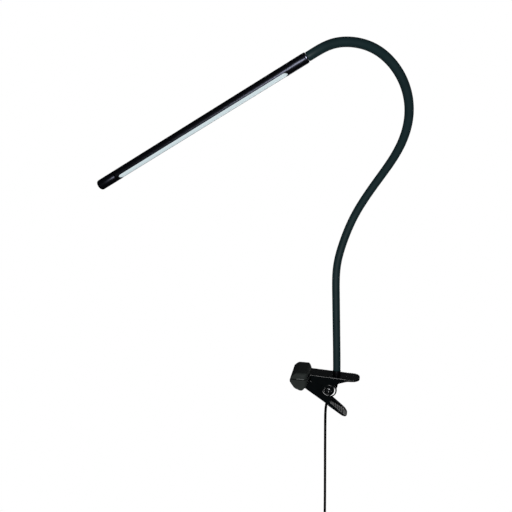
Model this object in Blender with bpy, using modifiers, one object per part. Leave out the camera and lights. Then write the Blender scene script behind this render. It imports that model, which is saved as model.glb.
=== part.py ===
"""Clip-on LED picture light: a spring clip, a flexible neck and a slim tube head.

The origin is the middle of the gap between the closed jaws. +X runs from the jaws to the
handles, +Z is up and the hinge pin lies along Y. All sizes are in metres.
"""

import math

import bmesh
import bpy
import numpy as np
from mathutils import Matrix, Vector

# ---------------------------------------------------------------- driving dimensions
GAP = 0.0003  # clearance between pieces that touch
PIN_GAP = 0.00015  # clearance of the pin in its holes

# clip
PIVOT = (0.035, -0.0135)  # x and z of the hinge pin's axis
LEVER_HALF_WIDTH = 0.010
TONGUE_HALF_WIDTH = 0.014  # the part of a lever that the jaw boot covers
WALL = 0.0016
LEVER_TOP = 0.0040  # height of the upper lever behind its boot
LEVER_FALL = 0.0018  # how much lower the upper lever is at its tip
EAR_RADIUS = 0.0096
UPPER_TIP_X = 0.071
GROOVE_COUNT = 5  # thumb grooves across the upper handle
GROOVE_FIRST_X = 0.0548
GROOVE_PITCH = 0.0026
CHEEK_HALF_WIDTH = LEVER_HALF_WIDTH - WALL - 0.0004
CHEEK_RADIUS = 0.0080
HANDLE_ANGLE = math.radians(33.6)  # fall of the lower handle below the horizontal
HANDLE_BASE = -0.0177  # underside of the lower handle, measured square from the pin
HANDLE_FLOOR = HANDLE_BASE + 0.0013
HANDLE_RIM = HANDLE_BASE + 0.0050  # top of its side walls at the pin; they get lower to the tip
HANDLE_TIP_RIM = HANDLE_BASE + 0.0021
TRAY_STEP = 0.0002  # the thumb tray's floor lies this much above the floor between the cheeks
HANDLE_TIP = 0.0381  # from the foot of the pin, along the handle
CORD_SLOT = ((-0.0032, -0.0015), (0.0128, 0.0045))  # along and across the lower handle
BOOT_HALF_WIDTH = 0.018
BOOT_FRONT = -0.0117
BOOT_REAR = 0.0120
BOOT_TOP = 0.0084  # of the upper boot
JAW_FACE = 0.0005  # height of the upper boot's gripping face
TONGUE_NEAR = 0.0020  # a tongue's face towards the other jaw
TONGUE_FAR = 0.0046
TONGUE_FRONT = -0.0080
PIN_RADIUS = 0.0016
RIVET_RADIUS = 0.0036
SPRING_RADIUS = 0.0044  # to the middle of the wire
SPRING_WIRE = 0.0012
SPRING_TURNS = 4
SPRING_NEAR_Y = -0.0050
SPRING_LEG_Y = SPRING_NEAR_Y - 0.0004
SPRING_PITCH = SPRING_WIRE + 0.00035
SPRING_LEG_ANGLE = math.radians(60)  # where the upper leg leaves the coil
JAW_OPENING = math.radians(35)  # how far the lower lever turns

# neck and its fixing
NECK_X = 0.043
NECK_RADIUS = 0.0045
NECK_BORE = 0.0029
CORE_RADIUS = 0.0024
COLLAR_TOP = 0.0088
STUD_RADIUS = 0.0040
STUD_END = -0.0058
JOINT_FIRST = 0.040  # along the neck, to its first bending joint
JOINT_STEP = 0.055
JOINT_COUNT = 8
SOCKET_RADIUS = NECK_RADIUS + GAP
SOCKET_RIM = 0.0020  # a link's lower rim, above its joint
NECK_ROUTE = (
    (0.0430, 0.0000, 0.0092),
    (0.0420, 0.0000, 0.0350),
    (0.0403, 0.0010, 0.0700),
    (0.0385, 0.0028, 0.1050),
    (0.0386, 0.0040, 0.1390),
    (0.0450, 0.0038, 0.1680),
    (0.0546, 0.0018, 0.1947),
    (0.0672, -0.0030, 0.2194),
    (0.0810, -0.0098, 0.2422),
    (0.0942, -0.0190, 0.2645),
    (0.1036, -0.0302, 0.2872),
    (0.1068, -0.0425, 0.3111),
    (0.1024, -0.0555, 0.3338),
    (0.0912, -0.0685, 0.3534),
    (0.0746, -0.0815, 0.3678),
    (0.0545, -0.0942, 0.3743),
    (0.0338, -0.1042, 0.3724),
    (0.0139, -0.1115, 0.3615),
)

# head, along its own axis from the end of the neck
HEAD_DIRECTION = Vector((-0.862, -0.032, -0.506)).normalized()
SLOT_ROLL = math.radians(24)  # how far the light slot turns from straight down to -Y
TUBE_RADIUS = 0.0052
TUBE_BORE = 0.0043
TUBE_START = 0.0019
TUBE_END = 0.2157
HEAD_LENGTH = 0.2370
FERRULE_END = 0.0180
SLOT_START = 0.0216
SLOT_END = 0.2135
SLOT_HALF_WIDTH = 0.0038
LED_COUNT = 20

# cord
CORD_RADIUS = 0.0016
COIL_X = 0.0430
COIL_Z = -0.2930
COIL_RADIUS = 0.0176  # to the middle of the turns
COIL_HALF_THICK = 0.0053
COIL_HALF_WIDTH = 0.0076
SWITCH_X = 0.0346
SWITCH_TOP = -0.2010
SWITCH_LENGTH = 0.0480
SWITCH_HALF_WIDTH = 0.0085
SWITCH_HALF_DEPTH = 0.0055
BUTTON_X, BUTTON_Z = SWITCH_X, -0.2230
BUTTON_RADIUS = 0.0042
PLUG_X = COIL_X + COIL_RADIUS
PLUG_Y = -0.0145
PLUG_TOP = COIL_Z + 0.0020
RELIEF_LENGTH = 0.0080
PLUG_BODY_LENGTH = 0.0220
PLUG_SHELL_LENGTH = 0.0120
PLUG_SHELL_HALF = (0.0060, 0.00225)
CORD_ROUTE = (
    (0.0430, 0.0000, -0.0078),
    (0.0432, 0.0006, -0.0105),
    (0.0428, 0.0018, -0.0140),
    (0.0412, 0.0028, -0.0185),
    (0.0380, 0.0029, -0.0240),
    (0.0349, 0.0022, -0.0290),
    (0.0328, 0.0014, -0.0340),
    (0.0316, 0.0008, -0.0400),
    (0.0311, 0.0003, -0.0480),
    (0.0312, 0.0000, -0.0600),
    (0.0318, 0.0000, -0.0850),
    (0.0326, 0.0000, -0.1150),
    (0.0334, 0.0000, -0.1450),
    (0.0341, 0.0000, -0.1720),
    (0.0346, 0.0000, -0.2007),
)
CORD_BELOW_SWITCH = (
    (0.0346, 0.0000, -0.2493),
    (0.0346, 0.0004, -0.2560),
    (0.0350, 0.0018, -0.2625),
    (0.0364, 0.0035, -0.2677),
)
CORD_TO_PLUG = (
    (0.0403, -0.0097, -0.2775),
    (0.0458, -0.0109, -0.2771),
    (0.0513, -0.0120, -0.2786),
    (0.0561, -0.0131, -0.2820),
    (0.0592, -0.0140, -0.2864),
    (0.0606, -0.0145, -0.2907),
)

PI = math.pi


# ---------------------------------------------------------------- scene and materials
def clear_scene():
    for obj in list(bpy.data.objects):
        bpy.data.objects.remove(obj, do_unlink=True)


def new_collection(name):
    made = bpy.data.collections.new(name)
    bpy.context.scene.collection.children.link(made)
    return made


def material(name, colour, roughness, metallic=0.0):
    made = bpy.data.materials.new(name)
    made.use_nodes = True
    shader = made.node_tree.nodes["Principled BSDF"]
    shader.inputs["Base Color"].default_value = (*colour, 1.0)
    shader.inputs["Roughness"].default_value = roughness
    shader.inputs["Metallic"].default_value = metallic
    made.diffuse_color = (*colour, 1.0)
    return made


clear_scene()
PARTS = new_collection("picture_light")
CUTTERS = new_collection("cutters")

FINISHES = {  # colour, roughness, metallic
    "clip_plastic": ((0.012, 0.018, 0.020), 0.25),
    "boot_rubber": ((0.028, 0.032, 0.031), 0.75),
    "liner_rubber": ((0.42, 0.44, 0.43), 0.70),
    "bright_steel": ((0.60, 0.61, 0.62), 0.25, 1.0),
    "neck_rubber": ((0.020, 0.034, 0.036), 0.62),
    "ferrule_metal": ((0.035, 0.034, 0.042), 0.38, 1.0),
    "tube_aluminium": ((0.016, 0.017, 0.021), 0.32, 1.0),
    "diffuser": ((0.80, 0.88, 0.90), 0.45),
    "circuit_board": ((0.75, 0.76, 0.74), 0.50),
    "cord_pvc": ((0.012, 0.013, 0.014), 0.45),
    "switch_plastic": ((0.016, 0.017, 0.019), 0.40),
}


def moving_body(name, position, parent=None):
    """An empty on a joint's axis. The pieces that turn or slide with the joint are its children."""
    empty = bpy.data.objects.new(name, None)
    empty.empty_display_size = 0.01
    empty["world"] = tuple(position)
    empty.parent = parent
    empty.location = Vector(position) - Vector(parent["world"] if parent else (0, 0, 0))
    PARTS.objects.link(empty)
    return empty


# ---------------------------------------------------------------- modelling helpers
def place(obj, collection=PARTS):
    for owner in list(obj.users_collection):
        owner.objects.unlink(obj)
    collection.objects.link(obj)
    return obj


def finish(obj, name, slot, body=None, smooth=True):
    """Names a finished piece, gives it its own material and puts it among the parts."""
    obj.name = name
    obj.data.name = name
    obj.data.materials.clear()
    obj.data.materials.append(material(name, *FINISHES[slot]))
    if smooth and obj.type == "MESH":
        obj.data.shade_smooth()
        obj.data.set_sharp_from_angle(angle=math.radians(35))
    if body:
        obj.parent = body
        obj.matrix_parent_inverse = Matrix.Translation(-Vector(body["world"]))
    return place(obj)


def to_mesh(obj):
    """Turns a curve, or a mesh with modifiers, into one closed mesh and drops the old object."""
    bpy.context.view_layer.update()
    evaluated = obj.evaluated_get(bpy.context.evaluated_depsgraph_get())
    mesh = bpy.data.meshes.new_from_object(evaluated)
    bm = bmesh.new()
    bm.from_mesh(mesh)
    bmesh.ops.remove_doubles(bm, verts=bm.verts, dist=2e-6)
    bmesh.ops.dissolve_degenerate(bm, dist=1e-7, edges=bm.edges)
    bmesh.ops.dissolve_limit(bm, angle_limit=0.002, verts=bm.verts, edges=bm.edges)
    bmesh.ops.recalc_face_normals(bm, faces=bm.faces)
    bm.to_mesh(mesh)
    bm.free()
    made = bpy.data.objects.new(obj.name, mesh)
    made.matrix_world = obj.matrix_world.copy()
    place(made, CUTTERS)
    bpy.data.objects.remove(obj, do_unlink=True)
    return made


def side_matrix(y=0.0):
    """Stands a flat outline up in the XZ plane."""
    return Matrix.Translation((0, y, 0)) @ Matrix.Rotation(PI / 2, 4, "X")


def plate(name, outline, thickness, matrix=None):
    """A flat outline, made solid, its thickness shared by both sides of its plane."""
    curve = bpy.data.curves.new(name, "CURVE")
    curve.dimensions = "2D"
    curve.fill_mode = "BOTH"
    curve.extrude = thickness / 2
    spline = curve.splines.new("POLY")
    spline.points.add(len(outline) - 1)
    for point, (x, y) in zip(spline.points, outline):
        point.co = (x, y, 0, 1)
    spline.use_cyclic_u = True
    obj = bpy.data.objects.new(name, curve)
    obj.matrix_world = matrix or Matrix.Identity(4)
    place(obj, CUTTERS)
    return to_mesh(obj)


def rod(name, points, radius, radii=None, sides=2):
    """A solid bar of round section along a row of points."""
    curve = bpy.data.curves.new(name, "CURVE")
    curve.dimensions = "3D"
    curve.bevel_depth = radius
    curve.bevel_resolution = sides
    curve.use_fill_caps = True
    spline = curve.splines.new("POLY")
    spline.points.add(len(points) - 1)
    for i, (point, at) in enumerate(zip(spline.points, points)):
        point.co = (*at, 1)
        point.radius = radii[i] if radii else 1.0
    obj = bpy.data.objects.new(name, curve)
    return place(obj, CUTTERS)


def turned(name, profile, matrix=None, steps=24):
    """A solid of revolution about the local Z axis, from (radius, height) points, top to bottom."""
    mesh = bpy.data.meshes.new(name)
    bm = bmesh.new()
    verts = [bm.verts.new((r, 0, z)) for r, z in profile]
    for a, b in zip(verts, verts[1:]):
        bm.edges.new((a, b))
    if profile[0][0] > 0 and profile[-1][0] > 0:
        bm.edges.new((verts[-1], verts[0]))
    bm.to_mesh(mesh)
    bm.free()
    obj = bpy.data.objects.new(name, mesh)
    obj.matrix_world = matrix or Matrix.Identity(4)
    place(obj, CUTTERS)
    screw = obj.modifiers.new("turn", "SCREW")
    screw.steps = screw.render_steps = steps
    screw.use_merge_vertices = True
    screw.merge_threshold = 1e-5
    screw.use_normal_calculate = True
    return to_mesh(obj)


def box(name, low, high):
    """A block between two corners."""
    mesh = bpy.data.meshes.new(name)
    bm = bmesh.new()
    bmesh.ops.create_cube(bm, size=1.0)
    size = [b - a for a, b in zip(low, high)]
    middle = [(a + b) / 2 for a, b in zip(low, high)]
    bmesh.ops.scale(bm, vec=size, verts=bm.verts)
    bmesh.ops.translate(bm, vec=middle, verts=bm.verts)
    bm.to_mesh(mesh)
    bm.free()
    return place(bpy.data.objects.new(name, mesh), CUTTERS)


def cylinder(name, radius, depth, matrix, steps=20):
    """A round bar about the local Z axis, centred on the frame's origin."""
    mesh = bpy.data.meshes.new(name)
    bm = bmesh.new()
    bmesh.ops.create_cone(
        bm, cap_ends=True, segments=steps, radius1=radius, radius2=radius, depth=depth
    )
    bm.to_mesh(mesh)
    bm.free()
    obj = bpy.data.objects.new(name, mesh)
    obj.matrix_world = matrix
    return place(obj, CUTTERS)


def ball(name, centre, radius):
    """A sphere of 16 segments."""
    mesh = bpy.data.meshes.new(name)
    bm = bmesh.new()
    bmesh.ops.create_uvsphere(bm, u_segments=16, v_segments=10, radius=radius)
    bmesh.ops.translate(bm, vec=centre, verts=bm.verts)
    bm.to_mesh(mesh)
    bm.free()
    return place(bpy.data.objects.new(name, mesh), CUTTERS)


def combine(obj, tool, operation):
    """Cuts, joins or trims obj with tool, and drops the tool."""
    modifier = obj.modifiers.new(operation.lower(), "BOOLEAN")
    modifier.operation = operation
    modifier.object = tool
    made = to_mesh(obj)
    bpy.data.objects.remove(tool, do_unlink=True)
    return made


def cut(obj, *tools):
    for tool in tools:
        obj = combine(obj, tool, "DIFFERENCE")
    return obj


def join(obj, *tools):
    for tool in tools:
        obj = combine(obj, tool, "UNION")
    return obj


def trim(obj, tool):
    return combine(obj, tool, "INTERSECT")


def soften(obj, width, segments=2, angle=35):
    """Rounds the sharp edges."""
    bevel = obj.modifiers.new("soften", "BEVEL")
    bevel.width = width
    bevel.segments = segments
    bevel.limit_method = "ANGLE"
    bevel.angle_limit = math.radians(angle)
    bevel.use_clamp_overlap = True
    return to_mesh(obj)


def arc(centre, radius, start, end, steps):
    """Points on an arc, in degrees, both ends included."""
    angles = [math.radians(start + (end - start) * i / steps) for i in range(steps + 1)]
    return [(centre[0] + radius * math.cos(a), centre[1] + radius * math.sin(a)) for a in angles]


def rounded(corners, steps=5):
    """An outline whose corners (x, y, radius) are rounded off by arcs; radius 0 stays sharp."""
    outline = []
    count = len(corners)
    for i, (x, y, radius) in enumerate(corners):
        here = Vector((x, y))
        if radius == 0:
            outline.append((x, y))
            continue
        before = (Vector(corners[i - 1][:2]) - here).normalized()
        after = (Vector(corners[(i + 1) % count][:2]) - here).normalized()
        half = before.angle(after) / 2
        centre = here + (before + after).normalized() * (radius / math.sin(half))
        reach = radius / math.tan(half)
        first = here + before * reach - centre
        last = here + after * reach - centre
        turn = first.angle_signed(last)
        for k in range(steps + 1):
            spoke = Matrix.Rotation(-turn * k / steps, 2) @ first
            outline.append(tuple(centre + spoke))
    return outline


def rounded_rectangle(low, high, radius, steps=5):
    """A rectangle between two corners, with its own corners rounded off."""
    (x0, y0), (x1, y1) = low, high
    corners = ((x0, y0), (x1, y0), (x1, y1), (x0, y1))
    return rounded([(x, y, radius) for x, y in corners], steps)


def hole_y(centre, radius, half_length=0.02):
    """A round cutter along Y through (x, z)."""
    matrix = Matrix.Translation((centre[0], 0, centre[1])) @ Matrix.Rotation(PI / 2, 4, "X")
    return cylinder("hole", radius, 2 * half_length, matrix)


def smooth_curve(points, start_direction=None, end_direction=None):
    """A natural or clamped cubic through points: a function of the distance along the chords."""
    p = np.array(points, float)
    chords = np.linalg.norm(np.diff(p, axis=0), axis=1)
    t = np.concatenate([[0], np.cumsum(chords)])
    n = len(p)
    a = np.zeros((n, n))
    b = np.zeros((n, 3))
    for i in range(1, n - 1):
        left, right = chords[i - 1], chords[i]
        a[i, i - 1], a[i, i], a[i, i + 1] = right, 2 * (left + right), left
        b[i] = 3 * (right * (p[i] - p[i - 1]) / left + left * (p[i + 1] - p[i]) / right)
    for row, near, chord, direction in (
        (0, 1, chords[0], start_direction),
        (n - 1, n - 2, chords[-1], end_direction),
    ):
        a[row, row] = 1 if direction is not None else 2
        a[row, near] = 0 if direction is not None else 1
        along = (p[near] - p[row]) / chord * (1 if row == 0 else -1)
        b[row] = np.array(direction) if direction is not None else 3 * along
    slopes = np.linalg.solve(a, b)

    def at(distance):
        i = int(np.clip(np.searchsorted(t, distance) - 1, 0, n - 2))
        h = chords[i]
        s = (distance - t[i]) / h
        return (
            (2 * s**3 - 3 * s**2 + 1) * p[i]
            + (s**3 - 2 * s**2 + s) * h * slopes[i]
            + (-2 * s**3 + 3 * s**2) * p[i + 1]
            + (s**3 - s**2) * h * slopes[i + 1]
        )

    return at, float(t[-1])


def evenly(points, step, start_direction=None, end_direction=None):
    """Points about step apart along the smooth curve through points."""
    at, total = smooth_curve(points, start_direction, end_direction)
    count = max(2, round(total / step))
    return [tuple(at(total * i / count)) for i in range(count + 1)]


# ---------------------------------------------------------------- clip
def handle_point(u, w):
    """A point of the lower handle's frame (u along it, w square to it, from the pin) as x, z."""
    c, s = math.cos(HANDLE_ANGLE), math.sin(HANDLE_ANGLE)
    return (PIVOT[0] + u * c + w * s, PIVOT[1] - u * s + w * c)


def handle_matrix():
    """The frame of the lower handle: X along it, Y across, Z square to its floor."""
    return Matrix.Translation((PIVOT[0], 0, PIVOT[1])) @ Matrix.Rotation(HANDLE_ANGLE, 4, "Y")


def neck_foot():
    """The upright frame of the neck's ferrule."""
    return Matrix.Translation((NECK_X, 0, 0))


def paddle(rear, half_width, front, front_half_width, neck, tip_radius):
    """A lever seen from above: a wide tongue in front, a body and a rounded tip."""
    return rounded(
        [
            (front, -front_half_width, 0.002),
            (neck - 0.0015, -front_half_width, 0),
            (neck, -half_width, 0),
            (rear, -half_width, tip_radius),
            (rear, half_width, tip_radius),
            (neck, half_width, 0),
            (neck - 0.0015, front_half_width, 0),
            (front, front_half_width, 0.002),
        ],
        steps=8,
    )


def upper_lever():
    top_rear = LEVER_TOP - LEVER_FALL
    grooves = []
    for i in range(GROOVE_COUNT):
        x = GROOVE_FIRST_X + GROOVE_PITCH * i
        z = top_rear + 0.0001
        grooves += [(x, z), (x + 0.0004, z - 0.0005), (x + 0.0010, z - 0.0005), (x + 0.0014, z)]
    outline = [
        (TONGUE_FRONT, TONGUE_NEAR),
        (TONGUE_FRONT, TONGUE_FAR),
        (0.0095, TONGUE_FAR),
        (0.0130, LEVER_TOP),
        *grooves,
        (0.0700, top_rear - 0.0001),
        (UPPER_TIP_X, top_rear - 0.0010),
        (UPPER_TIP_X - 0.0008, 0.0000),
        (0.0563, -0.0008),
        (0.0480, -0.0037),
        *arc(PIVOT, EAR_RADIUS, 45, -220, 22),
        (0.0255, -0.0070),
        (0.0130, -0.0042),
        (0.0130, TONGUE_NEAR),
    ]
    lever = plate("upper_lever", outline, 0.04, side_matrix())
    plan = paddle(UPPER_TIP_X, LEVER_HALF_WIDTH, TONGUE_FRONT, TONGUE_HALF_WIDTH, 0.0118, 0.0085)
    lever = trim(lever, plate("plan", plan, 0.1))
    inner = LEVER_HALF_WIDTH - WALL
    front, rear = 0.0150, UPPER_TIP_X - WALL
    hollow = rounded(
        [(front, -inner, 0.001), (rear, -inner, 0.0070), (rear, inner, 0.0070), (front, inner, 0.001)],
        steps=6,
    )
    ceiling = 0.0006
    depth = 0.04
    channel = plate("channel", hollow, depth, Matrix.Translation((0, 0, ceiling - depth / 2)))
    stud_hole = cylinder("stud_hole", STUD_RADIUS + GAP, 0.02, neck_foot())
    lever = cut(lever, channel, stud_hole, hole_y(PIVOT, PIN_RADIUS + PIN_GAP))
    finish(lever, "upper_lever", "clip_plastic")


def lower_lever(jaw):
    cheek = [
        (0.0123, -TONGUE_NEAR),
        (0.0123, -0.0048),
        *arc(PIVOT, CHEEK_RADIUS, 115, -46, 14),
        handle_point(0.0094, -0.0090),
        handle_point(0.0106, HANDLE_RIM),
    ]
    handle = [
        handle_point(HANDLE_TIP - 0.0010, HANDLE_TIP_RIM),
        handle_point(HANDLE_TIP, HANDLE_TIP_RIM - 0.0008),
        handle_point(HANDLE_TIP, HANDLE_BASE + 0.0008),
        handle_point(HANDLE_TIP - 0.0010, HANDLE_BASE),
        handle_point(-0.0240, HANDLE_BASE),
    ]
    front = [(0.0056, -0.0138), (0.0094, -0.0090), (0.0120, -TONGUE_FAR)]
    tongue = [(TONGUE_FRONT, -TONGUE_FAR), (TONGUE_FRONT, -TONGUE_NEAR)]
    lever = plate("lower_lever", cheek + handle + front + tongue, 0.04, side_matrix())
    frame = handle_matrix()
    plan = rounded(
        [
            (-0.045, -TONGUE_HALF_WIDTH, 0),
            (-0.0266, -TONGUE_HALF_WIDTH, 0),
            (-0.0246, -CHEEK_HALF_WIDTH, 0),
            (0.0100, -CHEEK_HALF_WIDTH, 0),
            (0.0118, -LEVER_HALF_WIDTH, 0.001),
            (HANDLE_TIP, -LEVER_HALF_WIDTH, 0.0085),
            (HANDLE_TIP, LEVER_HALF_WIDTH, 0.0085),
            (0.0118, LEVER_HALF_WIDTH, 0.001),
            (0.0100, CHEEK_HALF_WIDTH, 0),
            (-0.0246, CHEEK_HALF_WIDTH, 0),
            (-0.0266, TONGUE_HALF_WIDTH, 0),
            (-0.045, TONGUE_HALF_WIDTH, 0),
        ],
        steps=7,
    )
    lever = trim(lever, plate("plan", plan, 0.12, frame))
    between = [
        (0.0146, 0.010),
        (0.0146, -0.0050),
        handle_point(-0.0172, HANDLE_FLOOR),
        handle_point(0.0130, HANDLE_FLOOR),
        handle_point(0.0130, 0.030),
    ]
    channel = plate("channel", between, 2 * (CHEEK_HALF_WIDTH - WALL), side_matrix())
    inner = LEVER_HALF_WIDTH - WALL
    front, rear = 0.0110, HANDLE_TIP - WALL
    tray_outline = rounded(
        [(front, -inner, 0.001), (rear, -inner, 0.0070), (rear, inner, 0.0070), (front, inner, 0.001)],
        steps=6,
    )
    depth = 0.03
    lift = Matrix.Translation((0, 0, HANDLE_FLOOR + TRAY_STEP + depth / 2))
    tray = plate("tray", tray_outline, depth, frame @ lift)
    slot_outline = rounded_rectangle(CORD_SLOT[0], CORD_SLOT[1], 0.0025)
    slot = plate("slot", slot_outline, 0.006, frame @ Matrix.Translation((0, 0, HANDLE_BASE)))
    lever = cut(lever, channel, tray, slot, hole_y(PIVOT, PIN_RADIUS + PIN_GAP))
    finish(lever, "lower_lever", "clip_plastic", jaw)


def boot_plan():
    """A jaw boot seen from above: wide, with long rounded corners at the rear."""
    half = BOOT_HALF_WIDTH
    return rounded(
        [
            (BOOT_FRONT, -half, 0.0016),
            (BOOT_REAR - 0.0050, -half, 0.0050),
            (BOOT_REAR, -half + 0.0090, 0.0060),
            (BOOT_REAR, half - 0.0090, 0.0060),
            (BOOT_REAR - 0.0050, half, 0.0050),
            (BOOT_FRONT, half, 0.0016),
        ],
        steps=5,
    )


def upper_boot():
    front = BOOT_FRONT + 0.0009
    outline = rounded(
        [
            (front, JAW_FACE, 0),
            (BOOT_REAR, JAW_FACE, 0),
            (BOOT_REAR, BOOT_TOP, 0.0050),
            (-0.0046, BOOT_TOP - 0.0002, 0.0060),
            (front, 0.0026, 0.0014),
        ]
    )
    boot = plate("upper_boot", outline, 0.05, side_matrix())
    boot = trim(boot, plate("plan", boot_plan(), 0.05))
    half = BOOT_HALF_WIDTH
    dome = rounded([(-half, 0, 0), (half, 0, 0), (half, BOOT_TOP, 0.0034), (-half, BOOT_TOP, 0.0034)])
    across = Matrix.Rotation(PI / 2, 4, "Z") @ Matrix.Rotation(PI / 2, 4, "X")
    boot = trim(boot, plate("dome", dome, 0.05, across))
    pocket = box(
        "pocket",
        (TONGUE_FRONT - GAP, -TONGUE_HALF_WIDTH - GAP, TONGUE_NEAR - GAP),
        (BOOT_REAR + 0.005, TONGUE_HALF_WIDTH + GAP, TONGUE_FAR + GAP),
    )
    recess = box("recess", (-0.0042, -0.03, -0.001), (0.0062, 0.03, JAW_FACE + 0.0006))
    boot = soften(cut(boot, recess), 0.0005)
    finish(cut(boot, pocket), "upper_jaw_boot", "boot_rubber")


def lower_boot(jaw):
    outline = rounded(
        [
            (BOOT_FRONT, -JAW_FACE, 0),
            (BOOT_FRONT, -0.0032, 0.0015),
            (-0.0058, -0.0114, 0.0080),
            (0.0032, -0.0149, 0.0045),
            (0.0083, -0.0088, 0.0015),
            (0.0115, -JAW_FACE, 0),
        ]
    )
    boot = plate("lower_boot", outline, 0.05, side_matrix())
    boot = trim(boot, plate("plan", boot_plan(), 0.05))
    boot = soften(boot, 0.0005)
    pocket = box(
        "pocket",
        (TONGUE_FRONT - GAP, -TONGUE_HALF_WIDTH - GAP, -TONGUE_FAR - GAP),
        (BOOT_REAR + 0.005, TONGUE_HALF_WIDTH + GAP, -TONGUE_NEAR + GAP),
    )
    finish(cut(boot, pocket), "lower_jaw_boot", "boot_rubber", jaw)


def grip_liner(jaw):
    """A pale strip on the lower jaw that reaches into a recess of the upper boot."""
    liner = box("liner", (-0.0036, -0.0165, -JAW_FACE + GAP), (0.0056, 0.0165, 0.0008))
    finish(soften(liner, 0.0002, 1), "grip_liner", "liner_rubber", jaw)


def pin_matrix():
    """The pin's own frame: its Z axis runs to +Y."""
    return Matrix.Translation((PIVOT[0], 0, PIVOT[1])) @ Matrix.Rotation(-PI / 2, 4, "X")


def pivot_pin():
    """The rivet through the clip, its head towards -Y, and the washer at its peened end."""
    ear = LEVER_HALF_WIDTH + GAP
    thick = 0.0008
    far = ear + thick + 2 * GAP
    profile = [
        (0, far + 0.0014),
        (0.0016, far + 0.0012),
        (0.0026, far + 0.0005),
        (0.0028, far),
        (PIN_RADIUS, far),
        (PIN_RADIUS, -ear),
        (RIVET_RADIUS, -ear),
        (RIVET_RADIUS - 0.0002, -ear - 0.0005),
        (0.0026, -ear - 0.0012),
        (0.0013, -ear - 0.0016),
        (0, -ear - 0.0017),
    ]
    finish(turned("pin", profile, pin_matrix()), "pivot_pin", "bright_steel")
    ring = [
        (0.0034, ear + thick),
        (0.0034, ear),
        (PIN_RADIUS + PIN_GAP, ear),
        (PIN_RADIUS + PIN_GAP, ear + thick),
    ]
    finish(turned("washer", ring, pin_matrix()), "pivot_washer", "bright_steel")


def spring_point(angle, y):
    """A point on the middle of the spring's wire, where it goes round the pin."""
    x = PIVOT[0] + SPRING_RADIUS * math.cos(angle)
    return (x, y, PIVOT[1] + SPRING_RADIUS * math.sin(angle))


def spring(jaw):
    """A torsion spring round the pin; its lower leg turns with the lower lever."""
    sides = 14
    far_y = SPRING_NEAR_Y + SPRING_PITCH * SPRING_TURNS
    leg_end = Vector((0.0210, far_y, -0.0022))
    first = Vector(spring_point(SPRING_LEG_ANGLE, far_y))
    steps = 5
    points = []
    for k in range(steps):
        bow = Vector((0, 0, 0.0012)) * math.sin(PI * k / steps)
        points.append(leg_end.lerp(first, k / steps) + bow)
    for k in range(sides * SPRING_TURNS + 1):
        angle = SPRING_LEG_ANGLE - 2 * PI * k / sides
        points.append(spring_point(angle, far_y - SPRING_PITCH * k / sides))
    coil = to_mesh(rod("spring", points, SPRING_WIRE / 2, sides=1))
    finish(coil, "spring_coil", "bright_steel")
    clear = 0.38  # angle that the wire's own thickness needs
    start = spring_point(SPRING_LEG_ANGLE - JAW_OPENING - clear, SPRING_LEG_Y)
    knee_x, knee_z = handle_point(0.0062, -0.0098)
    foot_x, foot_z = handle_point(0.0078, HANDLE_FLOOR + 0.0010)
    leg = [start, (knee_x, SPRING_LEG_Y, knee_z), (foot_x, SPRING_LEG_Y, foot_z)]
    lower = to_mesh(rod("spring_leg", evenly(leg, 0.0016), SPRING_WIRE / 2, sides=1))
    finish(lower, "spring_lower_leg", "bright_steel", jaw)


# ---------------------------------------------------------------- neck
NECK_AT, NECK_LENGTH = smooth_curve(NECK_ROUTE, (-0.03, 0, 1), HEAD_DIRECTION)


def neck_point(distance):
    return Vector(NECK_AT(distance))


def neck_direction(distance):
    step = 0.0005
    return (neck_point(distance + step) - neck_point(distance - step)).normalized()


def joint_distance(index):
    return JOINT_FIRST + JOINT_STEP * index


def joint_axis(index):
    """Bending joints turn about the picture's depth and, every second one, square to it."""
    along = neck_direction(joint_distance(index))
    across = Vector((0, 1, 0))
    across = (across - along * across.dot(along)).normalized()
    return across if index % 2 == 0 else across.cross(along).normalized()


def neck_fixing():
    """The ferrule that carries the neck, and the washer and nut that hold it in the lever."""
    seat = LEVER_TOP - 0.0008
    ferrule = [
        (NECK_RADIUS - 0.0001, COLLAR_TOP),
        (NECK_RADIUS + 0.0002, COLLAR_TOP - 0.0004),
        (NECK_RADIUS + 0.0002, seat),
        (STUD_RADIUS, seat),
        (STUD_RADIUS, STUD_END + 0.0004),
        (STUD_RADIUS - 0.0004, STUD_END),
        (NECK_BORE, STUD_END),
        (NECK_BORE, COLLAR_TOP),
    ]
    at = neck_foot()
    finish(turned("ferrule", ferrule, at), "neck_ferrule", "ferrule_metal")
    washer = [
        (0.0062, -0.0001),
        (0.0062, -0.0009),
        (STUD_RADIUS + GAP, -0.0009),
        (STUD_RADIUS + GAP, -0.0001),
    ]
    finish(turned("washer", washer, at), "neck_washer", "bright_steel")
    low, high = -0.0046, -0.0012
    hexagon = arc((0, 0), 0.0068, 0, 300, 5)
    nut = plate("nut", hexagon, high - low, at @ Matrix.Translation((0, 0, (low + high) / 2)))
    bore = cylinder("bore", STUD_RADIUS + GAP, 0.02, at)
    finish(soften(cut(nut, bore), 0.0003, 1), "neck_nut", "bright_steel")
    top = STUD_END - GAP
    gland = [
        (0.0037, top),
        (0.0037, top - 0.0006),
        (0.0026, top - 0.0024),
        (CORD_RADIUS + GAP, top - 0.0024),
        (CORD_RADIUS + GAP, top),
    ]
    finish(turned("gland", gland, at, 20), "cord_gland", "cord_pvc")


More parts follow.
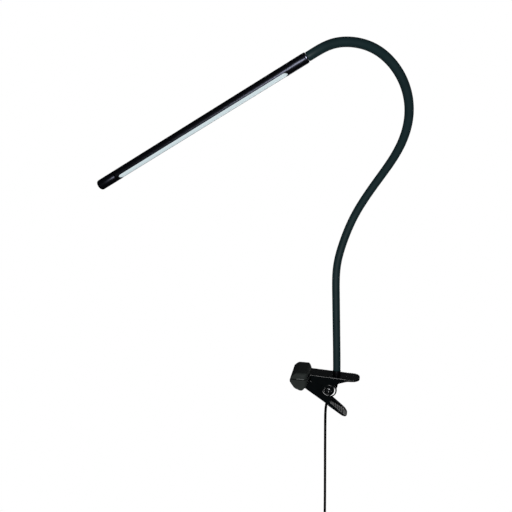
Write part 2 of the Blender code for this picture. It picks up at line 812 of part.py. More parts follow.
def neck_link(index, body):
    """One stretch of the rubber sleeve: a ball end above, a socket below, bored through."""
    first = index == 0
    last = index == JOINT_COUNT
    low = 0.0 if first else joint_distance(index - 1)
    high = NECK_LENGTH if last else joint_distance(index)
    count = max(3, round((high - low) / 0.009))
    stops = [low + (high - low) * i / count for i in range(count + 1)]
    stops[1:1] = [low + 0.0010]  # short first and last steps keep the ends square
    stops[-1:-1] = [high - 0.0010]
    points = [neck_point(d) for d in stops]
    radii = [1.0] * len(points)
    if not last:
        centre, along = neck_point(high), neck_direction(high)
        for degrees in (28, 52, 72):
            angle = math.radians(degrees)
            points.append(centre + along * NECK_RADIUS * math.sin(angle))
            radii.append(math.cos(angle))
    sleeve = to_mesh(rod("sleeve", points, NECK_RADIUS, radii, sides=3))
    out = [points[0] - neck_direction(low + 0.001) * 0.003, *points]
    out.append(points[-1] + neck_direction(high - 0.001) * 0.003)
    bore = to_mesh(rod("bore", out, NECK_BORE, sides=2))
    if not first:
        centre, along = neck_point(low), neck_direction(low)
        turn = along.to_track_quat("Z", "Y").to_matrix().to_4x4()
        depth = 0.008
        below = Matrix.Translation((0, 0, SOCKET_RIM - depth / 2))
        flat = cylinder("flat", 0.0066, depth, Matrix.Translation(centre) @ turn @ below)
        sleeve = cut(sleeve, flat, ball("socket", centre, SOCKET_RADIUS))
    sleeve = cut(sleeve, bore)
    finish(sleeve, f"neck_link_{index}", "neck_rubber", body)
    start = 0.0012 if first else low + 0.0062
    end = high + 0.0120 if last else high - 0.0020
    count = max(3, round((end - start) / 0.010))
    route = []
    for i in range(count + 1):
        d = start + (end - start) * i / count
        past = max(0.0, d - NECK_LENGTH)
        route.append(neck_point(min(d, NECK_LENGTH)) + HEAD_DIRECTION * past)
    core = to_mesh(rod("core", route, CORE_RADIUS, sides=1))
    finish(core, f"neck_core_{index}", "bright_steel", body)


# ---------------------------------------------------------------- head
def head_matrix():
    """The head's frame: X from the neck to the tip, -Z out of the light slot."""
    along = HEAD_DIRECTION
    down = (Vector((0, 0, -1)) - along * -along.z).normalized()
    side = along.cross(down)
    if side.y > 0:
        side = -side
    out = (down * math.cos(SLOT_ROLL) + side * math.sin(SLOT_ROLL)).normalized()
    up = -out
    across = up.cross(along)
    rows = Matrix((along, across, up)).transposed().to_4x4()
    return Matrix.Translation(Vector(NECK_ROUTE[-1])) @ rows


def head(body):
    """The tube with its light slot, the diffuser, the ferrule, the cap and the lit strip inside."""
    frame = head_matrix()
    lathe = frame @ Matrix.Rotation(PI / 2, 4, "Y")  # its Z axis runs along the head
    tube = turned(
        "tube",
        [
            (TUBE_RADIUS - 0.0003, TUBE_END),
            (TUBE_RADIUS, TUBE_END - 0.0003),
            (TUBE_RADIUS, TUBE_START + 0.0005),
            (TUBE_RADIUS - 0.0004, TUBE_START),
            (TUBE_BORE, TUBE_START),
            (TUBE_BORE, TUBE_END),
        ],
        lathe,
        32,
    )
    w = SLOT_HALF_WIDTH
    slot_outline = rounded_rectangle((SLOT_START, -w), (SLOT_END, w), w, 8)
    sink = frame @ Matrix.Translation((0, 0, -TUBE_RADIUS))
    tube = cut(tube, plate("slot", slot_outline, 0.009, sink))
    finish(tube, "head_tube", "tube_aluminium", body)

    w = SLOT_HALF_WIDTH - GAP
    lens_outline = rounded_rectangle((SLOT_START + GAP, -w), (SLOT_END - GAP, w), w, 8)
    thick = 0.0014
    face = math.sqrt(TUBE_RADIUS**2 - SLOT_HALF_WIDTH**2)  # where the slot meets the outside
    seat = frame @ Matrix.Translation((0, 0, -face + thick / 2))
    lens = soften(plate("lens", lens_outline, thick, seat), 0.0003, 2)
    finish(lens, "head_diffuser", "diffuser", body)

    ferrule = turned(
        "head_ferrule",
        [
            (TUBE_BORE - GAP, FERRULE_END),
            (TUBE_BORE - GAP, TUBE_START - GAP),
            (TUBE_RADIUS, TUBE_START - GAP),
            (TUBE_RADIUS, GAP + 0.0008),
            (NECK_RADIUS + 0.0002, GAP),
            (CORE_RADIUS + GAP, GAP),
            (CORE_RADIUS + GAP, FERRULE_END),
        ],
        lathe,
        32,
    )
    finish(ferrule, "head_ferrule", "ferrule_metal", body)

    corner = 0.0026
    dome = arc((TUBE_RADIUS - corner, HEAD_LENGTH - corner), corner, 90, 0, 4)
    cap = turned(
        "cap",
        [
            (0, HEAD_LENGTH),
            *dome,
            (TUBE_RADIUS, TUBE_END + GAP + 0.0003),
            (TUBE_RADIUS - 0.0003, TUBE_END + GAP),
            (TUBE_BORE - GAP, TUBE_END + GAP),
            (TUBE_BORE - GAP, SLOT_END + 0.0005),
            (0, SLOT_END + 0.0005),
        ],
        lathe,
    )
    finish(cap, "head_tip_cap", "tube_aluminium", body)

    start, end = 0.0240, 0.2115
    bottom, top = 0.0004, 0.0014
    chip, height = 0.0030, 0.0007
    pitch = (end - start) / LED_COUNT
    strip = [(end, bottom), (end, top), (start, top), (start, bottom)]
    for i in range(LED_COUNT):  # the light-emitting chips stand proud towards the slot
        x = start + pitch * (i + 0.5) - chip / 2
        strip += [(x, bottom), (x, bottom - height), (x + chip, bottom - height)]
        strip.append((x + chip, bottom))
    stand = frame @ Matrix.Rotation(PI / 2, 4, "X")
    finish(plate("leds", strip, 0.0056, stand), "led_board", "circuit_board", body)

    lead = [(0.0128, 0, 0.0), (0.0165, 0, 0.0002), (0.0200, 0, 0.0008), (0.0236, 0, 0.0009)]
    route = [frame @ Vector(p) for p in lead]
    wire = to_mesh(rod("lead", evenly(route, 0.0025), 0.0007, sides=1))
    finish(wire, "led_lead", "cord_pvc", body)


# ---------------------------------------------------------------- cord and what is on it
def cord_tubes():
    """The stretches that are not coiled: down to the switch, on to the coil, and to the plug."""
    down = (0, 0, -1)
    stretches = (
        ("cord", CORD_ROUTE, down, down),
        ("cord_tail", CORD_BELOW_SWITCH, down, (0.5, 0.2, -0.8)),
        ("cord_end", CORD_TO_PLUG, (0.97, -0.2, 0.1), (0.1, 0, -1)),
    )
    for name, route, start, end in stretches:
        points = evenly(route, 2 * 2 * CORD_RADIUS, start, end)
        finish(rod(name, points, CORD_RADIUS), name, "cord_pvc")


def coil_matrix():
    """The coil hangs in a vertical plane: its own Z axis runs to +Y."""
    return Matrix.Translation((COIL_X, 0, COIL_Z)) @ Matrix.Rotation(-PI / 2, 4, "X")


def cord_coil():
    """The outer shape of the coiled cord, and the band that ties it."""
    r, t, w = COIL_RADIUS, COIL_HALF_THICK, COIL_HALF_WIDTH
    soft = 0.0022
    section = [(r + t - soft, w), (r + t, w - soft), (r + t, -w + soft), (r + t - soft, -w)]
    section += [(r - t + soft, -w), (r - t, -w + soft), (r - t, w - soft), (r - t + soft, w)]
    finish(turned("coil", section, coil_matrix(), 28), "cord_coil", "cord_pvc")
    t, w = t + 2 * GAP, w + GAP  # the ring's inner side curves into the straight band
    band = 0.0010
    at = Matrix.Translation((COIL_X - COIL_RADIUS, 0, COIL_Z))
    inside = plate("inside", rounded_rectangle((-t, -w), (t, w), soft, 4), 0.02, at)
    t, w = t + band, w + band
    tie = plate("tie", rounded_rectangle((-t, -w), (t, w), soft + band, 4), 0.005, at)
    finish(cut(tie, inside), "cord_tie", "boot_rubber")


def switch(button_body):
    """An in-line push switch: two shells that meet at the cord, and the button."""
    x, low, high = SWITCH_X, SWITCH_TOP - SWITCH_LENGTH, SWITCH_TOP
    w = SWITCH_HALF_WIDTH
    wall = 0.0014
    room_depth = 0.0038
    end_wall = 0.0030
    plan = rounded_rectangle((x - w, low), (x + w, high), 0.0045)
    depth = SWITCH_HALF_DEPTH - GAP / 2
    for name, sign in (("switch_front", -1), ("switch_back", 1)):
        shell = plate(name, plan, depth, side_matrix(sign * (depth / 2 + GAP / 2)))
        shell = soften(shell, 0.0009)
        room = box(
            "room",
            (x - w + wall, min(room_depth * sign, 0), low + end_wall),
            (x + w - wall, max(room_depth * sign, 0), high - end_wall),
        )
        middle = Matrix.Translation((x, 0, (low + high) / 2))
        shell = cut(shell, room, cylinder("mouths", CORD_RADIUS + GAP, 2 * SWITCH_LENGTH, middle))
        if sign < 0:
            shell = cut(shell, hole_y((BUTTON_X, BUTTON_Z), BUTTON_RADIUS + GAP))
        finish(shell, name, "switch_plastic")
    face = -SWITCH_HALF_DEPTH
    button = [
        (0, face - 0.0012),
        (0.0030, face - 0.0011),
        (BUTTON_RADIUS - 0.0002, face - 0.0007),
        (BUTTON_RADIUS, face - 0.0003),
        (BUTTON_RADIUS, face + 0.0018),
        (0, face + 0.0018),
    ]
    flip = [(r, -y) for r, y in button]
    matrix = Matrix.Translation((BUTTON_X, 0, BUTTON_Z)) @ Matrix.Rotation(PI / 2, 4, "X")
    finish(turned("button", flip, matrix), "switch_button", "switch_plastic", button_body)


def plug():
    """A USB-A plug that hangs in front of the coil."""
    x, y = PLUG_X, PLUG_Y
    neck_end = PLUG_TOP - RELIEF_LENGTH
    body_end = neck_end - PLUG_BODY_LENGTH
    shell_end = body_end - PLUG_SHELL_LENGTH
    hole = CORD_RADIUS + GAP
    profile = [(hole, PLUG_TOP), (0.0026, PLUG_TOP), (0.0034, neck_end - 0.0005)]
    profile.append((hole, neck_end - 0.0005))
    relief = turned("relief", profile, Matrix.Translation((x, y, 0)), 20)
    half_x, half_y = 0.0078, 0.0040
    outline = rounded_rectangle((-half_x, -half_y), (half_x, half_y), 0.0022, 4)
    middle = (neck_end + body_end) / 2
    body = plate("body", outline, neck_end - body_end, Matrix.Translation((x, y, middle)))
    body = soften(body, 0.0008)
    mouth = cylinder("mouth", hole, 0.012, Matrix.Translation((x, y, neck_end - 0.002)))
    w, d = PLUG_SHELL_HALF
    inside = box(
        "inside",
        (x - w - GAP, y - d - GAP, body_end - 0.001),
        (x + w + GAP, y + d + GAP, body_end + 0.006),
    )
    finish(cut(join(body, relief), mouth, inside), "usb_plug_body", "cord_pvc")
    shell = box("shell", (x - w, y - d, shell_end), (x + w, y + d, body_end + 0.0055))
    sheet = 0.0003
    hollow = box(
        "hollow",
        (x - w + sheet, y - d + sheet, shell_end - 0.001),
        (x + w - sheet, y + d - sheet, body_end + 0.0045),
    )
    finish(cut(shell, hollow), "usb_plug_shell", "bright_steel", smooth=False)
    tongue = box(
        "tongue",
        (x - w + 0.0008, y - d + 0.0006, shell_end + 0.0006),
        (x + w - 0.0008, y - d + 0.0024, body_end + 0.0040),
    )
    finish(tongue, "usb_plug_tongue", "circuit_board", smooth=False)


def build():
    jaw = moving_body("jaw", (PIVOT[0], 0, PIVOT[1]))
    upper_lever()
    lower_lever(jaw)
    upper_boot()
    lower_boot(jaw)
    grip_liner(jaw)
    pivot_pin()
    spring(jaw)
    neck_fixing()
    body = None
    neck_link(0, body)
    for index in range(1, JOINT_COUNT + 1):
        body = moving_body(f"bend_{index}", neck_point(joint_distance(index - 1)), body)
        neck_link(index, body)
    head(body)
    cord_tubes()
    cord_coil()
    switch(moving_body("button", (BUTTON_X, -SWITCH_HALF_DEPTH, BUTTON_Z)))
    plug()
    bpy.data.collections.remove(CUTTERS)


build()
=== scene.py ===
"""Looks of the clip-on picture light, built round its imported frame. All sizes are in metres."""

import math

import bmesh
import bpy
import numpy as np
from mathutils import Matrix, Vector


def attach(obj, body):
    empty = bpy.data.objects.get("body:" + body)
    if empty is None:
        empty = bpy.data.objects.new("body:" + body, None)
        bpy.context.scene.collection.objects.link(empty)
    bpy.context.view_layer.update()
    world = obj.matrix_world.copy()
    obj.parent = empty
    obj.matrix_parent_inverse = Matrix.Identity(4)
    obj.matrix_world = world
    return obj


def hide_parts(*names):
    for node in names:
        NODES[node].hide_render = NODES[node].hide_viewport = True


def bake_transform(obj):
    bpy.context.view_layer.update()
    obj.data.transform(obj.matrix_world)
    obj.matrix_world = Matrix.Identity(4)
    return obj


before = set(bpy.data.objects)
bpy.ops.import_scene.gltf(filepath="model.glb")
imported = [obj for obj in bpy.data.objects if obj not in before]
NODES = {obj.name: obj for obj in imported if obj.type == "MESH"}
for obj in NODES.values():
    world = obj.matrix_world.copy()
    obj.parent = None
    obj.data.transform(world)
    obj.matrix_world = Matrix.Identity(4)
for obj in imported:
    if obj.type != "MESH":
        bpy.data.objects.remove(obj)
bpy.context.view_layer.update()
SCENE = bpy.context.scene
PI = math.pi

# ---------------------------------------------------------------- sizes shared with the frame
NECK_ROUTE = (
    (0.0430, 0.0000, 0.0092),
    (0.0420, 0.0000, 0.0350),
    (0.0403, 0.0010, 0.0700),
    (0.0385, 0.0028, 0.1050),
    (0.0386, 0.0040, 0.1390),
    (0.0450, 0.0038, 0.1680),
    (0.0546, 0.0018, 0.1947),
    (0.0672, -0.0030, 0.2194),
    (0.0810, -0.0098, 0.2422),
    (0.0942, -0.0190, 0.2645),
    (0.1036, -0.0302, 0.2872),
    (0.1068, -0.0425, 0.3111),
    (0.1024, -0.0555, 0.3338),
    (0.0912, -0.0685, 0.3534),
    (0.0746, -0.0815, 0.3678),
    (0.0545, -0.0942, 0.3743),
    (0.0338, -0.1042, 0.3724),
    (0.0139, -0.1115, 0.3615),
)
NECK_START_DIRECTION = (-0.03, 0, 1)
NECK_RADIUS = 0.0045
NECK_BODIES = ["clip", *(f"neck_{i}" for i in range(1, 8)), "head"]
JOINT_FIRST = 0.040
JOINT_STEP = 0.055
BEND_REACH = 0.026  # to each side of a hinge, for two points along the neck that nothing reads
RING_STEP = 0.0011  # between the rings of the sleeve

HEAD_DIRECTION = Vector((-0.862, -0.032, -0.506)).normalized()
SLOT_ROLL = math.radians(24)
TUBE_RADIUS = 0.0052
TUBE_BORE = 0.0043
TUBE_START = 0.0019
TUBE_END = 0.2157
HEAD_LENGTH = 0.2370
SLOT_START = 0.0216
SLOT_END = 0.2135
SLOT_HALF_WIDTH = 0.0038
BOARD_START = 0.0240
BOARD_END = 0.2115
CHIP_COUNT = 20
GAP = 0.0003

PIVOT = (0.035, -0.0135)  # x and z of the hinge pin's axis
LEVER_HALF_WIDTH = 0.010
PIN_RADIUS = 0.0016
HANDLE_ANGLE = math.radians(33.6)
HANDLE_FLOOR = -0.0164
RIB_COUNT = 5
RIB_FIRST = 0.0190
RIB_PITCH = 0.0030
SPRING_RADIUS = 0.0044
SPRING_WIRE = 0.0012
SPRING_TURNS = 4
SPRING_NEAR_Y = -0.0050
SPRING_PITCH = 0.00155
SPRING_LEG_ANGLE = math.radians(60)

CORD_RADIUS = 0.0016
CORD_STEP = 0.0022  # between the points along the cord
CORD_ROUTE = (
    (0.0430, 0.0000, -0.0078),
    (0.0432, 0.0006, -0.0105),
    (0.0428, 0.0018, -0.0140),
    (0.0412, 0.0028, -0.0185),
    (0.0380, 0.0029, -0.0240),
    (0.0349, 0.0022, -0.0290),
    (0.0328, 0.0014, -0.0340),
    (0.0316, 0.0008, -0.0400),
    (0.0311, 0.0003, -0.0480),
    (0.0312, 0.0000, -0.0600),
    (0.0318, 0.0000, -0.0850),
    (0.0326, 0.0000, -0.1150),
    (0.0334, 0.0000, -0.1450),
    (0.0341, 0.0000, -0.1720),
    (0.0346, 0.0000, -0.2007),
)
CORD_BELOW_SWITCH = (
    (0.0346, 0.0000, -0.2493),
    (0.0346, 0.0004, -0.2560),
    (0.0350, 0.0018, -0.2625),
    (0.0364, 0.0035, -0.2677),
)
CORD_TO_PLUG = (
    (0.0403, -0.0097, -0.2775),
    (0.0458, -0.0109, -0.2771),
    (0.0513, -0.0120, -0.2786),
    (0.0561, -0.0131, -0.2820),
    (0.0592, -0.0140, -0.2864),
    (0.0606, -0.0145, -0.2907),
)
COIL_CENTRE = (0.0430, -0.2930)  # x and z
COIL_LAYERS = 3
COIL_RADIUS = 0.0176
COIL_PITCH = 0.00336
COIL_REACH = 0.0060  # of the outermost turns, to each side
COIL_ENTRY = math.radians(84)
COIL_EXIT = math.radians(160)  # where the cord begins to leave the inner layer
COIL_STEP = math.radians(15)  # between the points along the coil
LAYER_TURN = 2 * COIL_REACH / COIL_PITCH * 2 * PI  # the angle that one layer winds through

SWITCH_X = 0.0346
SWITCH_TOP = -0.2010
SWITCH_BOTTOM = -0.2490
SWITCH_HALF_DEPTH = 0.0055
BUTTON_Z = -0.2230
BUTTON_RADIUS = 0.0042


def smooth_curve(points, start_direction=None, end_direction=None):
    """A natural or clamped cubic through points: a function of the distance along the chords."""
    p = np.array(points, float)
    chords = np.linalg.norm(np.diff(p, axis=0), axis=1)
    t = np.concatenate([[0], np.cumsum(chords)])
    n = len(p)
    a = np.zeros((n, n))
    b = np.zeros((n, 3))
    for i in range(1, n - 1):
        left, right = chords[i - 1], chords[i]
        a[i, i - 1], a[i, i], a[i, i + 1] = right, 2 * (left + right), left
        b[i] = 3 * (right * (p[i] - p[i - 1]) / left + left * (p[i + 1] - p[i]) / right)
    for row, near, chord, direction in (
        (0, 1, chords[0], start_direction),
        (n - 1, n - 2, chords[-1], end_direction),
    ):
        a[row, row] = 1 if direction is not None else 2
        a[row, near] = 0 if direction is not None else 1
        along = (p[near] - p[row]) / chord * (1 if row == 0 else -1)
        b[row] = np.array(direction) if direction is not None else 3 * along
    slopes = np.linalg.solve(a, b)

    def at(distance):
        i = int(np.clip(np.searchsorted(t, distance) - 1, 0, n - 2))
        h = chords[i]
        s = (distance - t[i]) / h
        return (
            (2 * s**3 - 3 * s**2 + 1) * p[i]
            + (s**3 - 2 * s**2 + s) * h * slopes[i]
            + (-2 * s**3 + 3 * s**2) * p[i + 1]
            + (s**3 - s**2) * h * slopes[i + 1]
        )

    return at, float(t[-1])


def evenly(points, step, start_direction=None, end_direction=None):
    """Points along the smooth curve, about step apart."""
    at, total = smooth_curve(points, start_direction, end_direction)
    count = max(2, round(total / step))
    return [Vector(at(total * i / count)) for i in range(count + 1)]


# ---------------------------------------------------------------- camera
def add_camera():
    """A camera in front of the neck and above the clip, turned a little to the left."""
    camera = bpy.data.cameras.new("camera")
    camera.lens = 42.19
    camera.sensor_width = 36.0
    obj = bpy.data.objects.new("camera", camera)
    obj.location = (0.0856, -0.6685, 0.3287)
    obj.rotation_euler = (math.radians(75), 0, math.radians(12))
    SCENE.collection.objects.link(obj)
    SCENE.camera = obj


# ---------------------------------------------------------------- cord
def coil_point(radius, angle, y):
    return (COIL_CENTRE[0] + radius * math.cos(angle), y, COIL_CENTRE[1] + radius * math.sin(angle))


def eased(s):
    """Goes smoothly from 0 to 1."""
    return 3 * s * s - 2 * s**3


def coil_points():
    """The layers wound on each other, from the outer one to the inner one, to and fro."""
    total = LAYER_TURN * COIL_LAYERS
    count = round(total / COIL_STEP)
    rise = math.radians(50)  # over this angle a turn drops to the next layer
    points = []
    for i in range(count + 1):
        run = total * i / count
        layer = min(COIL_LAYERS - 1, int(run / LAYER_TURN))
        within = run / LAYER_TURN - layer
        side = 1 if layer % 2 == 0 else -1
        drop = layer
        to_next = (1 - within) * LAYER_TURN
        since_last = within * LAYER_TURN
        if layer < COIL_LAYERS - 1 and to_next < rise / 2:
            drop += eased(0.5 - to_next / rise)
        if layer > 0 and since_last < rise / 2:
            drop -= 1 - eased(0.5 + since_last / rise)
        radius = COIL_RADIUS + COIL_PITCH * (1 - drop)
        points.append(coil_point(radius, COIL_ENTRY - run, side * COIL_REACH * (1 - 2 * within)))
    return points


def inner_exit_points():
    """From the end of the inner layer, round its last part and forwards, towards the plug."""
    end = COIL_ENTRY - LAYER_TURN * COIL_LAYERS
    end += 2 * PI * math.ceil((COIL_EXIT - end) / (2 * PI))
    first = Vector(CORD_TO_PLUG[0])
    target = math.atan2(first.z - COIL_CENTRE[1], first.x - COIL_CENTRE[0])
    reach = math.hypot(first.z - COIL_CENTRE[1], first.x - COIL_CENTRE[0])
    inner = COIL_RADIUS - COIL_PITCH
    points = []
    for i in range(1, int((end - target) / COIL_STEP)):
        angle = end - COIL_STEP * i
        s = min(1.0, max(0.0, (COIL_EXIT - angle) / (COIL_EXIT - target)))
        radius = inner + (reach - inner) * s
        points.append(coil_point(radius, angle, -COIL_REACH + (first.y + COIL_REACH) * s))
    return points


def add_cord(material):
    """The whole cord as one line, from the foot of the neck to the plug."""
    route = [*CORD_ROUTE, *CORD_BELOW_SWITCH, *coil_points(), *inner_exit_points(), *CORD_TO_PLUG]
    points = evenly(route, CORD_STEP, start_direction=(0, 0, -1), end_direction=(0.1, 0, -1))
    curve = bpy.data.curves.new("cord_line", "CURVE")
    curve.dimensions = "3D"
    curve.bevel_depth = CORD_RADIUS
    curve.bevel_resolution = 5
    curve.use_fill_caps = True
    spline = curve.splines.new("POLY")
    spline.points.add(len(points) - 1)
    for point, at in zip(spline.points, points):
        point.co = (*at, 1)
    spline.use_smooth = True
    obj = bpy.data.objects.new("cord_line", curve)
    SCENE.collection.objects.link(obj)
    curve.materials.append(material)
    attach(obj, "clip")
    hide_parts("cord", "cord_tail", "cord_coil", "cord_end")


# ---------------------------------------------------------------- materials
NOISE_MIDDLE = (0.3, 0.7)  # nearly all of a noise's values lie between these
WAVES_PER_METRE = 3.18  # of a wave texture whose scale is 1


def new_surface(name, colour, roughness, metallic=0.0, specular=0.5):
    """A material with its node tree and its shader."""
    made = bpy.data.materials.new(name)
    made.use_nodes = True
    shader = made.node_tree.nodes["Principled BSDF"]
    shader.inputs["Base Color"].default_value = (*colour, 1)
    shader.inputs["Roughness"].default_value = roughness
    shader.inputs["Metallic"].default_value = metallic
    shader.inputs["Specular IOR Level"].default_value = specular
    made.diffuse_color = (*colour, 1)
    return made, made.node_tree, shader


def add(tree, kind, **inputs):
    """A new node with its inputs set, an underscore in a name standing for a space."""
    made = tree.nodes.new(kind)
    for name, value in inputs.items():
        made.inputs[name.replace("_", " ")].default_value = value
    return made


def place(tree, turn=None, stretch=(1, 1, 1)):
    """Object coordinates, turned into a piece's own frame and stretched."""
    coordinates = tree.nodes.new("ShaderNodeTexCoord")
    if turn is None:
        mapping = add(tree, "ShaderNodeMapping", Scale=stretch)
        tree.links.new(coordinates.outputs["Object"], mapping.inputs["Vector"])
        return mapping.outputs["Vector"]
    shift = add(tree, "ShaderNodeMapping", Location=tuple(-turn.to_translation()))
    tree.links.new(coordinates.outputs["Object"], shift.inputs["Vector"])
    rotation = turn.to_3x3().inverted().to_euler()
    mapping = add(tree, "ShaderNodeMapping", Rotation=tuple(rotation), Scale=stretch)
    tree.links.new(shift.outputs["Vector"], mapping.inputs["Vector"])
    return mapping.outputs["Vector"]


def noise(tree, vector, scale, detail=4.0):
    """A cloudy value that changes over about 1 / scale metres."""
    made = add(tree, "ShaderNodeTexNoise", Scale=scale, Detail=detail, Roughness=0.55)
    tree.links.new(vector, made.inputs["Vector"])
    return made.outputs["Fac"]


def ramp(tree, value, first, second):
    """A colour that goes from the first to the second over the middle of a noise's values."""
    made = tree.nodes.new("ShaderNodeValToRGB")
    for element, position, colour in zip(made.color_ramp.elements, NOISE_MIDDLE, (first, second)):
        element.position = position
        element.color = (*colour, 1)
    tree.links.new(value, made.inputs["Fac"])
    return made.outputs["Color"]


def spread(tree, value, low, high, start=NOISE_MIDDLE[0], end=NOISE_MIDDLE[1]):
    """A number that goes from low to high while value goes from start to end."""
    made = add(tree, "ShaderNodeMapRange", From_Min=start, From_Max=end, To_Min=low, To_Max=high)
    tree.links.new(value, made.inputs["Value"])
    return made.outputs["Result"]


def bumped(tree, shader, height, strength, distance):
    """Raises and lowers the surface by up to distance where the value height does."""
    made = add(tree, "ShaderNodeBump", Strength=strength, Distance=distance)
    tree.links.new(height, made.inputs["Height"])
    tree.links.new(made.outputs["Normal"], shader.inputs["Normal"])


def shaded(tree, shader, patches, colour, uneven):
    """The colour, darker and lighter by the share uneven from patch to patch."""
    dark = tuple(c * (1 - uneven) for c in colour)
    light = tuple(c * (1 + uneven) for c in colour)
    tree.links.new(ramp(tree, patches, dark, light), shader.inputs["Base Color"])


def moulded(name, colour, roughness, grain, depth, patch=90, uneven=0.25, specular=0.5):
    """Moulded plastic or rubber: soft patches of shade and gloss over a fine grain."""
    made, tree, shader = new_surface(name, colour, roughness, specular=specular)
    here = place(tree)
    shaded(tree, shader, noise(tree, here, patch), colour, uneven)
    gloss = spread(tree, noise(tree, here, patch * 2.3), roughness * 0.82, roughness * 1.2)
    tree.links.new(gloss, shader.inputs["Roughness"])
    bumped(tree, shader, noise(tree, here, grain, detail=5), 0.5, depth)
    return made


def brushed(name, colour, roughness, stretch, scale, depth, turn=None, uneven=0.2):
    """Metal with fine lines along one direction of the piece's own frame."""
    made, tree, shader = new_surface(name, colour, roughness, metallic=1.0)
    lines = noise(tree, place(tree, turn, stretch), scale, detail=6)
    shaded(tree, shader, noise(tree, place(tree), 60), colour, uneven)
    gloss = spread(tree, lines, roughness * 0.75, roughness * 1.3)
    tree.links.new(gloss, shader.inputs["Roughness"])
    bumped(tree, shader, lines, 0.35, depth)
    return made


def head_frame():
    """The head's frame: X from the neck to the tip, -Z out of the light slot."""
    along = HEAD_DIRECTION
    down = (Vector((0, 0, -1)) - along * -along.z).normalized()
    side = along.cross(down)
    if side.y > 0:
        side = -side
    up = -(down * math.cos(SLOT_ROLL) + side * math.sin(SLOT_ROLL)).normalized()
    rows = Matrix((along, up.cross(along), up)).transposed().to_4x4()
    return Matrix.Translation(Vector(NECK_ROUTE[-1])) @ rows


def diffuser_surface():
    """Milky plastic with painted light: a painted glow that is a little brighter in front of each of the
    chips behind it, and a faint painted emission that stands in for the light of the white room around it.
    """
    made, tree, shader = new_surface("diffuser", (0.80, 0.88, 0.90), 0.34)
    turn = head_frame()
    chip_pitch = (BOARD_END - BOARD_START) / CHIP_COUNT
    wave = add(tree, "ShaderNodeTexWave", Scale=1 / chip_pitch / WAVES_PER_METRE, Distortion=0.0)
    wave.wave_type = "BANDS"
    wave.bands_direction = "X"
    tree.links.new(place(tree, turn), wave.inputs["Vector"])
    clouds = noise(tree, place(tree, turn, (0.3, 1, 1)), 70)
    mix = tree.nodes.new("ShaderNodeMix")
    mix.data_type = "RGBA"
    share, base, painted_chip_glow = (mix.inputs[i] for i in (0, 6, 7))  # the sockets of its colour form
    # painted glow: in front of each chip the colour is mixed towards a brighter one
    tree.links.new(spread(tree, wave.outputs["Fac"], 0.0, 0.16, 0.4, 1.0), share)
    tree.links.new(ramp(tree, clouds, (0.74, 0.84, 0.86), (0.84, 0.91, 0.92)), base)
    painted_chip_glow.default_value = (0.86, 0.92, 0.93, 1)
    tree.links.new(mix.outputs[2], shader.inputs["Base Color"])
    # painted light: a faint glow in place of the light from the white room that the diffuser gives back
    shader.inputs["Emission Color"].default_value = (0.80, 0.95, 1.0, 1)
    shader.inputs["Emission Strength"].default_value = 0.52
    shader.inputs["Subsurface Weight"].default_value = 0.25
    shader.inputs["Subsurface Radius"].default_value = (0.002, 0.002, 0.002)
    shader.inputs["Subsurface Scale"].default_value = 1.0
    bumped(tree, shader, noise(tree, place(tree), 900), 0.15, 0.00005)
    return made


def make_surfaces():
    """The materials by name."""
    surfaces = {"diffuser": diffuser_surface()}
    for name, *look in (  # colour, roughness, grain, depth, patch, uneven, specular
        ("clip_plastic", (0.0008, 0.0026, 0.0036), 0.19, 2600, 0.000003, 70, 0.30),
        ("boot_rubber", (0.050, 0.059, 0.055), 0.72, 1500, 0.00012, 110, 0.15, 0.30),
        # the liner's pale colour is a painted highlight: it stands in for the bright line in the slit
        # between the jaws
        ("liner_rubber", (0.36, 0.38, 0.37), 0.75, 1800, 0.0001, 160, 0.10),
        ("neck_rubber", (0.0180, 0.0480, 0.0540), 0.54, 2200, 0.000008, 45, 0.12, 0.36),
        ("circuit_board", (0.70, 0.72, 0.69), 0.45, 1500, 0.00003, 200, 0.06),
        ("cord_pvc", (0.0020, 0.0022, 0.0022), 0.50, 1900, 0.00002, 60, 0.25, 0.12),
        ("tie_rubber", (0.020, 0.021, 0.022), 0.70, 1700, 0.0001, 150, 0.15, 0.35),
        ("switch_plastic", (0.013, 0.0140, 0.0155), 0.42, 2300, 0.00009, 90, 0.20),
        ("button_plastic", (0.030, 0.031, 0.034), 0.26, 2600, 0.00003, 120, 0.15),
        ("plug_pvc", (0.010, 0.011, 0.012), 0.40, 2100, 0.00007, 90, 0.20),
        ("tongue_plastic", (0.72, 0.72, 0.70), 0.40, 1700, 0.00002, 200, 0.05),
    ):
        surfaces[name] = moulded(name, *look)
    for name, *look in (  # colour, roughness, stretch, scale, depth
        ("pin_steel", (0.20, 0.205, 0.21), 0.16, (1, 0.2, 1), 900, 0.00002),
        ("spring_steel", (0.60, 0.60, 0.61), 0.24, (1, 1, 1), 1500, 0.00002),
        ("nut_steel", (0.55, 0.56, 0.57), 0.28, (1, 1, 0.2), 1100, 0.00002),
        ("core_steel", (0.45, 0.45, 0.45), 0.35, (0.2, 0.2, 1), 2200, 0.00008),
        ("ferrule_metal", (0.022, 0.022, 0.027), 0.38, (0.3, 0.3, 1), 2600, 0.00001),
        ("plug_metal", (0.66, 0.66, 0.65), 0.22, (1, 1, 0.08), 1500, 0.00002),
    ):
        surfaces[name] = brushed(name, *look)
    for name, roughness in (("head_ferrule_metal", 0.27), ("tube_aluminium", 0.29)):
        look = ((0.036, 0.038, 0.050), roughness, (0.03, 1, 1), 1700, 0.000002)
        surfaces[name] = brushed(name, *look, turn=head_frame(), uneven=0.08)
    return surfaces


SURFACES = make_surfaces()


# ---------------------------------------------------------------- modelling helpers
def shown(mesh, name, body, slot, surface=None, replaces=(), angle=40):
    """Puts a finished mesh in the scene, on its body, with its material."""
    mesh.name = name
    obj = bpy.data.objects.new(name, mesh)
    SCENE.collection.objects.link(obj)
    mesh.materials.clear()
    mesh.materials.append(SURFACES[surface or slot])
    mesh.shade_smooth()
    mesh.set_sharp_from_angle(angle=math.radians(angle))
    if replaces:
        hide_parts(*replaces)
    if body:
        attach(obj, body)
    return obj


